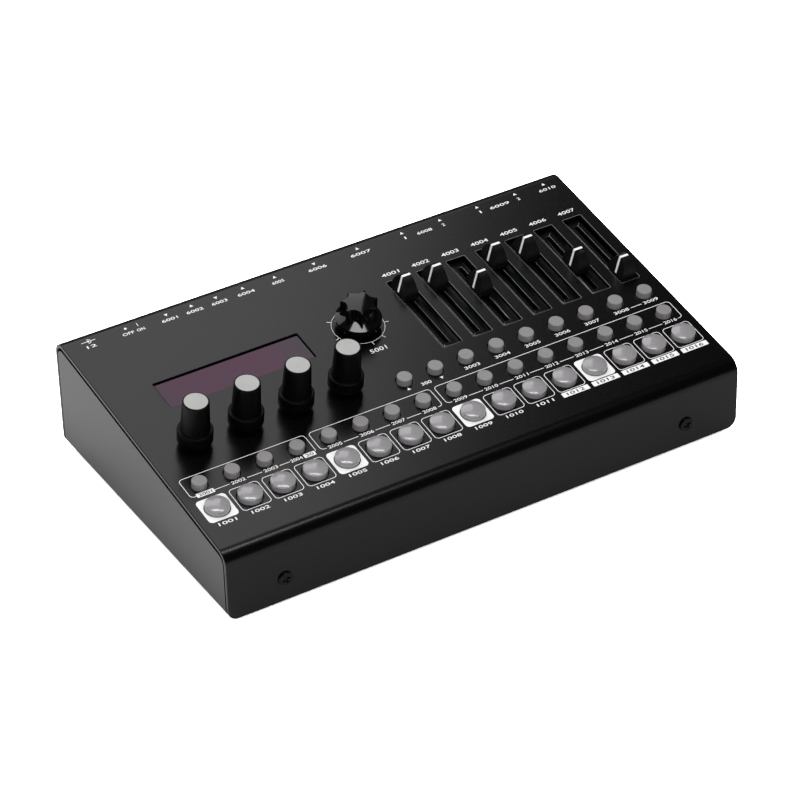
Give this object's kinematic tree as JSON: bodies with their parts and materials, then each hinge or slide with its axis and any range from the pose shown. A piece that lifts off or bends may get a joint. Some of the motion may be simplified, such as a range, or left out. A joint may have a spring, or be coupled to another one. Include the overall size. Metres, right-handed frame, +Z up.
{
  "type": "drum machine",
  "caption": "Desktop drum machine with a sloping control panel: step and function buttons, encoder knobs, faders, a fluted data knob and a display window in a black sheet-metal case.",
  "frame": {"origin": "on the table, under the middle of the whole machine", "axes": "+Z up, +X to the right as the player sees it, -Y towards the player, +Y towards the sockets"},
  "size_m": [0.286, 0.172, 0.0791],
  "materials": {
    "case_paint": "satin black fine powder coat",
    "tray_paint": "satin black fine powder coat",
    "screw_black": "blackened steel; the jack nuts are nickel",
    "print_ink": "white screen-printed ink",
    "foot_rubber": "matte black rubber",
    "board_green": "circuit board laminate",
    "socket_plastic": "moulded black plastic",
    "switch_plastic": "moulded black plastic",
    "data_knob_gloss": "polished black phenolic",
    "knob_black": "fine matte black moulding",
    "fader_black": "matte black moulding",
    "step_milky": "glossy milky light guide",
    "button_grey": "satin translucent grey light guide"
  },
  "bodies": {
    "case": {"top_shell": "case_paint", "bottom_tray": "tray_paint", "fasteners": "screw_black", "rubber_feet": "foot_rubber", "circuit_boards": "board_green", "rear_connectors": "socket_plastic"},
    "encoder_knob_1": {"encoder_knob_1": "knob_black"},
    "encoder_knob_2": {"encoder_knob_2": "knob_black"},
    "encoder_knob_3": {"encoder_knob_3": "knob_black"},
    "encoder_knob_4": {"encoder_knob_4": "knob_black"},
    "data_knob": {"data_knob": "data_knob_gloss"},
    "fader_cap_1": {"fader_cap_1": "fader_black"},
    "fader_cap_2": {"fader_cap_2": "fader_black"},
    "fader_cap_3": {"fader_cap_3": "fader_black"},
    "fader_cap_4": {"fader_cap_4": "fader_black"},
    "fader_cap_5": {"fader_cap_5": "fader_black"},
    "fader_cap_6": {"fader_cap_6": "fader_black"},
    "fader_cap_7": {"fader_cap_7": "fader_black"},
    "power_switch": {"power_switch": "switch_plastic"},
    "step_button_01": {"step_button_01": "step_milky"},
    "step_button_02": {"step_button_02": "step_milky"},
    "step_button_03": {"step_button_03": "step_milky"},
    "step_button_04": {"step_button_04": "step_milky"},
    "step_button_05": {"step_button_05": "step_milky"},
    "step_button_06": {"step_button_06": "step_milky"},
    "step_button_07": {"step_button_07": "step_milky"},
    "step_button_08": {"step_button_08": "step_milky"},
    "step_button_09": {"step_button_09": "step_milky"},
    "step_button_10": {"step_button_10": "step_milky"},
    "step_button_11": {"step_button_11": "step_milky"},
    "step_button_12": {"step_button_12": "step_milky"},
    "step_button_13": {"step_button_13": "step_milky"},
    "step_button_14": {"step_button_14": "step_milky"},
    "step_button_15": {"step_button_15": "step_milky"},
    "step_button_16": {"step_button_16": "step_milky"},
    "function_button_01": {"function_button_01": "button_grey"},
    "function_button_02": {"function_button_02": "button_grey"},
    "function_button_03": {"function_button_03": "button_grey"},
    "function_button_04": {"function_button_04": "button_grey"},
    "function_button_05": {"function_button_05": "button_grey"},
    "function_button_06": {"function_button_06": "button_grey"},
    "function_button_07": {"function_button_07": "button_grey"},
    "function_button_08": {"function_button_08": "button_grey"},
    "function_button_09": {"function_button_09": "button_grey"},
    "function_button_10": {"function_button_10": "button_grey"},
    "function_button_11": {"function_button_11": "button_grey"},
    "function_button_12": {"function_button_12": "button_grey"},
    "function_button_13": {"function_button_13": "button_grey"},
    "function_button_14": {"function_button_14": "button_grey"},
    "function_button_15": {"function_button_15": "button_grey"},
    "function_button_16": {"function_button_16": "button_grey"},
    "mode_button_1": {"mode_button_1": "button_grey"},
    "mode_button_2": {"mode_button_2": "button_grey"},
    "mode_button_3": {"mode_button_3": "button_grey"},
    "mode_button_4": {"mode_button_4": "button_grey"},
    "mode_button_5": {"mode_button_5": "button_grey"},
    "mode_button_6": {"mode_button_6": "button_grey"},
    "mode_button_7": {"mode_button_7": "button_grey"},
    "mode_button_8": {"mode_button_8": "button_grey"},
    "mode_button_9": {"mode_button_9": "button_grey"}
  },
  "joints": [
    {"name": "encoder_1_turn", "type": "hinge", "parent": "case", "child": "encoder_knob_1", "pos_m": [-0.11883, -0.01617, 0.07127], "axis": [0, -0.1495, 0.9888], "continuous": true},
    {"name": "encoder_2_turn", "type": "hinge", "parent": "case", "child": "encoder_knob_2", "pos_m": [-0.0915, -0.01617, 0.07127], "axis": [0, -0.1495, 0.9888], "continuous": true},
    {"name": "encoder_3_turn", "type": "hinge", "parent": "case", "child": "encoder_knob_3", "pos_m": [-0.06417, -0.01617, 0.07127], "axis": [0, -0.1495, 0.9888], "continuous": true},
    {"name": "encoder_4_turn", "type": "hinge", "parent": "case", "child": "encoder_knob_4", "pos_m": [-0.03684, -0.01617, 0.07127], "axis": [0, -0.1495, 0.9888], "continuous": true},
    {"name": "data_turn", "type": "hinge", "parent": "case", "child": "data_knob", "pos_m": [-0.0081, 0.02136, 0.06683], "axis": [0, -0.1495, 0.9888], "continuous": true},
    {"name": "fader_1_slide", "type": "slide", "parent": "case", "child": "fader_cap_1", "axis": [0, 0.9888, 0.1495], "range_m": [-0.038, 0.002]},
    {"name": "fader_2_slide", "type": "slide", "parent": "case", "child": "fader_cap_2", "axis": [0, 0.9888, 0.1495], "range_m": [-0.0376, 0.0024]},
    {"name": "fader_3_slide", "type": "slide", "parent": "case", "child": "fader_cap_3", "axis": [0, 0.9888, 0.1495], "range_m": [-0.0237, 0.0163]},
    {"name": "fader_4_slide", "type": "slide", "parent": "case", "child": "fader_cap_4", "axis": [0, 0.9888, 0.1495], "range_m": [-0.0379, 0.0021]},
    {"name": "fader_5_slide", "type": "slide", "parent": "case", "child": "fader_cap_5", "axis": [0, 0.9888, 0.1495], "range_m": [-0.0353, 0.0047]},
    {"name": "fader_6_slide", "type": "slide", "parent": "case", "child": "fader_cap_6", "axis": [0, 0.9888, 0.1495], "range_m": [-0.0158, 0.0242]},
    {"name": "fader_7_slide", "type": "slide", "parent": "case", "child": "fader_cap_7", "axis": [0, 0.9888, 0.1495], "range_m": [-0.0006, 0.0394]},
    {"name": "power_switch_slide", "type": "slide", "parent": "case", "child": "power_switch", "axis": [1, 0, 0], "range_m": [0, 0.004]},
    {"name": "step_button_01_press", "type": "slide", "parent": "case", "child": "step_button_01", "axis": [0, 0.1495, -0.9888], "range_m": [0, 0.0005], "stiffness_N_per_m": 200},
    {"name": "step_button_02_press", "type": "slide", "parent": "case", "child": "step_button_02", "axis": [0, 0.1495, -0.9888], "range_m": [0, 0.0005], "stiffness_N_per_m": 200},
    {"name": "step_button_03_press", "type": "slide", "parent": "case", "child": "step_button_03", "axis": [0, 0.1495, -0.9888], "range_m": [0, 0.0005], "stiffness_N_per_m": 200},
    {"name": "step_button_04_press", "type": "slide", "parent": "case", "child": "step_button_04", "axis": [0, 0.1495, -0.9888], "range_m": [0, 0.0005], "stiffness_N_per_m": 200},
    {"name": "step_button_05_press", "type": "slide", "parent": "case", "child": "step_button_05", "axis": [0, 0.1495, -0.9888], "range_m": [0, 0.0005], "stiffness_N_per_m": 200},
    {"name": "step_button_06_press", "type": "slide", "parent": "case", "child": "step_button_06", "axis": [0, 0.1495, -0.9888], "range_m": [0, 0.0005], "stiffness_N_per_m": 200},
    {"name": "step_button_07_press", "type": "slide", "parent": "case", "child": "step_button_07", "axis": [0, 0.1495, -0.9888], "range_m": [0, 0.0005], "stiffness_N_per_m": 200},
    {"name": "step_button_08_press", "type": "slide", "parent": "case", "child": "step_button_08", "axis": [0, 0.1495, -0.9888], "range_m": [0, 0.0005], "stiffness_N_per_m": 200},
    {"name": "step_button_09_press", "type": "slide", "parent": "case", "child": "step_button_09", "axis": [0, 0.1495, -0.9888], "range_m": [0, 0.0005], "stiffness_N_per_m": 200},
    {"name": "step_button_10_press", "type": "slide", "parent": "case", "child": "step_button_10", "axis": [0, 0.1495, -0.9888], "range_m": [0, 0.0005], "stiffness_N_per_m": 200},
    {"name": "step_button_11_press", "type": "slide", "parent": "case", "child": "step_button_11", "axis": [0, 0.1495, -0.9888], "range_m": [0, 0.0005], "stiffness_N_per_m": 200},
    {"name": "step_button_12_press", "type": "slide", "parent": "case", "child": "step_button_12", "axis": [0, 0.1495, -0.9888], "range_m": [0, 0.0005], "stiffness_N_per_m": 200},
    {"name": "step_button_13_press", "type": "slide", "parent": "case", "child": "step_button_13", "axis": [0, 0.1495, -0.9888], "range_m": [0, 0.0005], "stiffness_N_per_m": 200},
    {"name": "step_button_14_press", "type": "slide", "parent": "case", "child": "step_button_14", "axis": [0, 0.1495, -0.9888], "range_m": [0, 0.0005], "stiffness_N_per_m": 200},
    {"name": "step_button_15_press", "type": "slide", "parent": "case", "child": "step_button_15", "axis": [0, 0.1495, -0.9888], "range_m": [0, 0.0005], "stiffness_N_per_m": 200},
    {"name": "step_button_16_press", "type": "slide", "parent": "case", "child": "step_button_16", "axis": [0, 0.1495, -0.9888], "range_m": [0, 0.0005], "stiffness_N_per_m": 200},
    {"name": "function_button_01_press", "type": "slide", "parent": "case", "child": "function_button_01", "axis": [0, 0.1495, -0.9888], "range_m": [0, 0.0005], "stiffness_N_per_m": 200},
    {"name": "function_button_02_press", "type": "slide", "parent": "case", "child": "function_button_02", "axis": [0, 0.1495, -0.9888], "range_m": [0, 0.0005], "stiffness_N_per_m": 200},
    {"name": "function_button_03_press", "type": "slide", "parent": "case", "child": "function_button_03", "axis": [0, 0.1495, -0.9888], "range_m": [0, 0.0005], "stiffness_N_per_m": 200},
    {"name": "function_button_04_press", "type": "slide", "parent": "case", "child": "function_button_04", "axis": [0, 0.1495, -0.9888], "range_m": [0, 0.0005], "stiffness_N_per_m": 200},
    {"name": "function_button_05_press", "type": "slide", "parent": "case", "child": "function_button_05", "axis": [0, 0.1495, -0.9888], "range_m": [0, 0.0005], "stiffness_N_per_m": 200},
    {"name": "function_button_06_press", "type": "slide", "parent": "case", "child": "function_button_06", "axis": [0, 0.1495, -0.9888], "range_m": [0, 0.0005], "stiffness_N_per_m": 200},
    {"name": "function_button_07_press", "type": "slide", "parent": "case", "child": "function_button_07", "axis": [0, 0.1495, -0.9888], "range_m": [0, 0.0005], "stiffness_N_per_m": 200},
    {"name": "function_button_08_press", "type": "slide", "parent": "case", "child": "function_button_08", "axis": [0, 0.1495, -0.9888], "range_m": [0, 0.0005], "stiffness_N_per_m": 200},
    {"name": "function_button_09_press", "type": "slide", "parent": "case", "child": "function_button_09", "axis": [0, 0.1495, -0.9888], "range_m": [0, 0.0005], "stiffness_N_per_m": 200},
    {"name": "function_button_10_press", "type": "slide", "parent": "case", "child": "function_button_10", "axis": [0, 0.1495, -0.9888], "range_m": [0, 0.0005], "stiffness_N_per_m": 200},
    {"name": "function_button_11_press", "type": "slide", "parent": "case", "child": "function_button_11", "axis": [0, 0.1495, -0.9888], "range_m": [0, 0.0005], "stiffness_N_per_m": 200},
    {"name": "function_button_12_press", "type": "slide", "parent": "case", "child": "function_button_12", "axis": [0, 0.1495, -0.9888], "range_m": [0, 0.0005], "stiffness_N_per_m": 200},
    {"name": "function_button_13_press", "type": "slide", "parent": "case", "child": "function_button_13", "axis": [0, 0.1495, -0.9888], "range_m": [0, 0.0005], "stiffness_N_per_m": 200},
    {"name": "function_button_14_press", "type": "slide", "parent": "case", "child": "function_button_14", "axis": [0, 0.1495, -0.9888], "range_m": [0, 0.0005], "stiffness_N_per_m": 200},
    {"name": "function_button_15_press", "type": "slide", "parent": "case", "child": "function_button_15", "axis": [0, 0.1495, -0.9888], "range_m": [0, 0.0005], "stiffness_N_per_m": 200},
    {"name": "function_button_16_press", "type": "slide", "parent": "case", "child": "function_button_16", "axis": [0, 0.1495, -0.9888], "range_m": [0, 0.0005], "stiffness_N_per_m": 200},
    {"name": "mode_button_1_press", "type": "slide", "parent": "case", "child": "mode_button_1", "axis": [0, 0.1495, -0.9888], "range_m": [0, 0.0005], "stiffness_N_per_m": 200},
    {"name": "mode_button_2_press", "type": "slide", "parent": "case", "child": "mode_button_2", "axis": [0, 0.1495, -0.9888], "range_m": [0, 0.0005], "stiffness_N_per_m": 200},
    {"name": "mode_button_3_press", "type": "slide", "parent": "case", "child": "mode_button_3", "axis": [0, 0.1495, -0.9888], "range_m": [0, 0.0005], "stiffness_N_per_m": 200},
    {"name": "mode_button_4_press", "type": "slide", "parent": "case", "child": "mode_button_4", "axis": [0, 0.1495, -0.9888], "range_m": [0, 0.0005], "stiffness_N_per_m": 200},
    {"name": "mode_button_5_press", "type": "slide", "parent": "case", "child": "mode_button_5", "axis": [0, 0.1495, -0.9888], "range_m": [0, 0.0005], "stiffness_N_per_m": 200},
    {"name": "mode_button_6_press", "type": "slide", "parent": "case", "child": "mode_button_6", "axis": [0, 0.1495, -0.9888], "range_m": [0, 0.0005], "stiffness_N_per_m": 200},
    {"name": "mode_button_7_press", "type": "slide", "parent": "case", "child": "mode_button_7", "axis": [0, 0.1495, -0.9888], "range_m": [0, 0.0005], "stiffness_N_per_m": 200},
    {"name": "mode_button_8_press", "type": "slide", "parent": "case", "child": "mode_button_8", "axis": [0, 0.1495, -0.9888], "range_m": [0, 0.0005], "stiffness_N_per_m": 200},
    {"name": "mode_button_9_press", "type": "slide", "parent": "case", "child": "mode_button_9", "axis": [0, 0.1495, -0.9888], "range_m": [0, 0.0005], "stiffness_N_per_m": 200}
  ]
}
